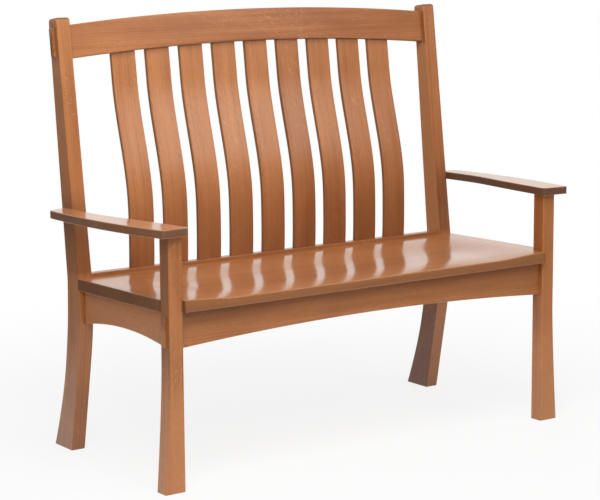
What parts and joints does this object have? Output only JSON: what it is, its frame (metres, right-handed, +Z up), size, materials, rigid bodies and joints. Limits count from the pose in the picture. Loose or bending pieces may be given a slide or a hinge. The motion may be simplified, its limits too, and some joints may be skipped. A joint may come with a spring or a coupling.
{
  "type": "mission settle",
  "caption": "Slat-back oak bench with leaning rear posts, an arched crest rail, bowed slats, a scooped plank seat and broad bowed arms, mortised and tenoned.",
  "frame": {"origin": "on the floor, below the middle of the settle's outer box", "axes": "+X along the seat to the right of someone standing in front, +Z up, and the sitter faces -Y"},
  "size_m": [1.3144, 0.5932, 1.0988],
  "materials": {
    "oak": "cherry-brown stain under semi-gloss varnish",
    "plain_oak": "planed, thinly sealed",
    "steel": "zinc-plated wood screws"
  },
  "bodies": {
    "root": {"front_leg_left": "oak", "front_leg_right": "oak", "rear_post_left": "oak", "rear_post_right": "oak", "crest_rail": "oak", "back_slat_1": "oak", "back_slat_2": "oak", "back_slat_3": "oak", "back_slat_4": "oak", "back_slat_5": "oak", "back_slat_6": "oak", "back_slat_7": "oak", "back_slat_8": "oak", "back_slat_9": "oak", "back_rail": "oak", "front_apron": "oak", "side_rail_left": "oak", "side_rail_right": "oak", "seat_board_1": "oak", "seat_board_2": "oak", "seat_board_3": "oak", "seat_board_4": "oak", "arm_left": "oak", "arm_right": "oak", "corner_block_front_left": "plain_oak", "corner_block_front_right": "plain_oak", "corner_block_rear_left": "plain_oak", "corner_block_rear_right": "plain_oak", "centre_rail": "plain_oak", "arm_dowels": "plain_oak", "corner_block_screws": "steel", "seat_screws": "steel"}
  },
  "joints": []
}
